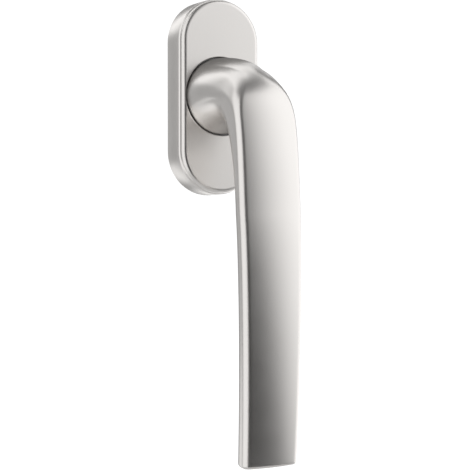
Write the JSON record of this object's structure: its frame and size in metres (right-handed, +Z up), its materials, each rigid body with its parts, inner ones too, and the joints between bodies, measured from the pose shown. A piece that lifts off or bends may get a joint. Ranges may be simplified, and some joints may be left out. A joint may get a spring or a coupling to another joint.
{
  "type": "tilt and turn window handle",
  "caption": "Tilt and turn window handle: a satin metal lever on a stadium rosette turns a square spindle between sprung stops.",
  "frame": {"origin": "spindle axis where it meets the window sash, at the back face of the rosette", "axes": "+Z up along the rosette, +X to the right as seen from the room, +Y into the window along the spindle; the grip hangs towards -Z when the window is closed"},
  "size_m": [0.03, 0.0755, 0.153],
  "materials": {
    "satin_aluminium": "satin, bead blasted and anodised",
    "die_cast_zinc": "as cast, dull grey zinc",
    "plated_steel": "bright zinc plated",
    "spring_steel": "dark oiled spring steel",
    "grey_polymer": "moulded, matt"
  },
  "bodies": {
    "base": {"base_plate": "die_cast_zinc", "neck_bush": "grey_polymer", "support_peg_upper": "grey_polymer", "support_peg_lower": "grey_polymer", "fixing_screw_upper": "plated_steel", "fixing_screw_lower": "plated_steel", "cover_clip_left": "spring_steel", "cover_clip_right": "spring_steel", "detent_spring_upper": "spring_steel", "detent_spring_lower": "spring_steel"},
    "lever": {"lever": "satin_aluminium", "spindle": "plated_steel", "spindle_clip": "spring_steel", "detent_ring": "die_cast_zinc", "thrust_washer": "die_cast_zinc", "wave_washer": "spring_steel", "retaining_ring": "spring_steel"},
    "cover": {"cover_cap": "satin_aluminium"},
    "ball_upper": {"detent_ball_upper": "plated_steel"},
    "ball_lower": {"detent_ball_lower": "plated_steel"}
  },
  "joints": [
    {"name": "handle_turn", "type": "hinge", "parent": "base", "child": "lever", "pos_m": [0, 0, 0], "axis": [0, -1, 0], "range_deg": [0, 180]},
    {"name": "cover_lift", "type": "slide", "parent": "base", "child": "cover", "axis": [0, -1, 0], "range_m": [0, 0.015]},
    {"name": "ball_upper_drop", "type": "slide", "parent": "base", "child": "ball_upper", "axis": [0, 0, 1], "range_m": [-0.0008, 0], "stiffness_N_per_m": 300, "springref_m": -0.0008, "deforming": ["detent_spring_upper"]},
    {"name": "ball_lower_drop", "type": "slide", "parent": "base", "child": "ball_lower", "axis": [0, 0, -1], "range_m": [-0.0008, 0], "stiffness_N_per_m": 300, "springref_m": -0.0008, "deforming": ["detent_spring_lower"]}
  ]
}
